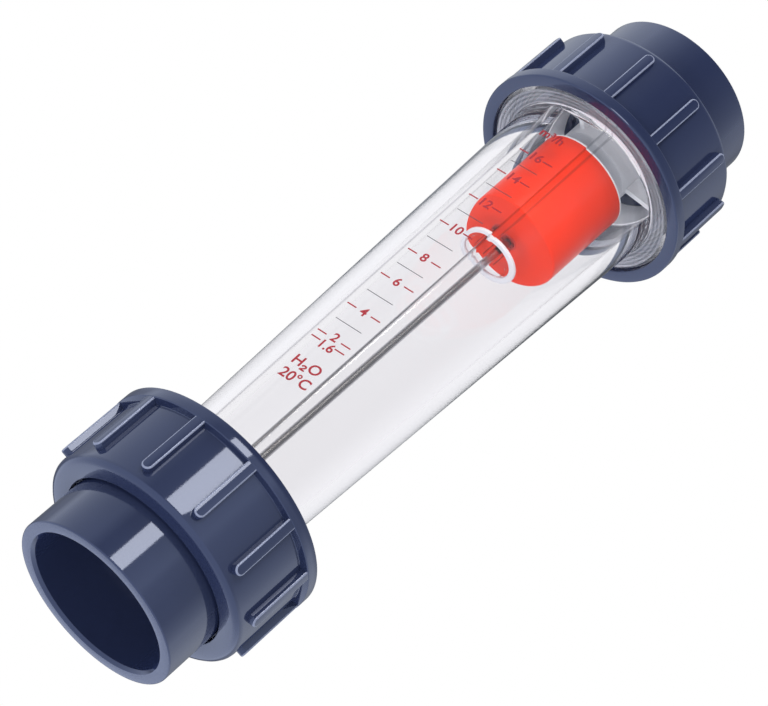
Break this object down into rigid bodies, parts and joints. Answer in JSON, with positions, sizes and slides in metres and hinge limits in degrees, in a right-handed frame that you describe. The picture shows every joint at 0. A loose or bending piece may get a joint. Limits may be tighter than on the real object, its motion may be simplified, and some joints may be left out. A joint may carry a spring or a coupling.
{
  "type": "rotameter",
  "caption": "Clear tapered tube flow meter with a red float on a guide rod, a flat scale strip, union nuts and solvent sockets for vertical pipework.",
  "frame": {"origin": "centre of the bottom socket's end face", "axes": "+Z along the flow from the bottom socket to the top socket; the flat scale strip faces -Y"},
  "size_m": [0.1018, 0.1018, 0.351],
  "materials": {
    "clear_plastic": "clear",
    "grey_pvc": "glossy",
    "red_plastic": "glossy",
    "white_plastic": "matte",
    "steel": "polished",
    "rubber": "matte"
  },
  "bodies": {
    "tube": {"meter_body": "clear_plastic", "guide_rod": "steel", "bottom_spider": "white_plastic", "bottom_rod_washer": "steel", "bottom_rod_nut": "steel", "bottom_stop_sleeve": "rubber", "top_spider": "white_plastic", "top_rod_washer": "steel", "top_rod_nut": "steel", "top_stop_sleeve": "rubber"},
    "float": {"float_body": "red_plastic", "float_weight": "steel", "float_cap": "white_plastic", "float_top_bush": "white_plastic", "float_bottom_bush": "rubber", "float_guide_ring": "white_plastic", "float_ring_carrier": "clear_plastic"},
    "bottom_tailpiece": {"bottom_socket": "grey_pvc", "bottom_o_ring": "rubber"},
    "bottom_nut": {"bottom_union_nut": "grey_pvc"},
    "top_tailpiece": {"top_socket": "grey_pvc", "top_o_ring": "rubber"},
    "top_nut": {"top_union_nut": "grey_pvc"}
  },
  "joints": [
    {"name": "float_slide", "type": "slide", "parent": "tube", "child": "float", "axis": [0, 0, 1], "range_m": [-0.1641, 0.004]},
    {"name": "bottom_union_draw", "type": "slide", "parent": "tube", "child": "bottom_tailpiece", "axis": [0, 0, -1], "range_m": [0, 0.0241]},
    {"name": "bottom_nut_turn", "type": "hinge", "parent": "bottom_tailpiece", "child": "bottom_nut", "pos_m": [0, 0, 0.04], "axis": [0, 0, -1], "range_deg": [0, 2880]},
    {"name": "top_union_draw", "type": "slide", "parent": "tube", "child": "top_tailpiece", "axis": [0, 0, 1], "range_m": [0, 0.0241]},
    {"name": "top_nut_turn", "type": "hinge", "parent": "top_tailpiece", "child": "top_nut", "pos_m": [0, 0, 0.311], "axis": [0, 0, 1], "range_deg": [0, 2880]}
  ],
  "couplings": [
    {"joint": "bottom_union_draw", "follows": "bottom_nut_turn", "m_per_rad": 0.00047746},
    {"joint": "top_union_draw", "follows": "top_nut_turn", "m_per_rad": 0.00047746}
  ]
}
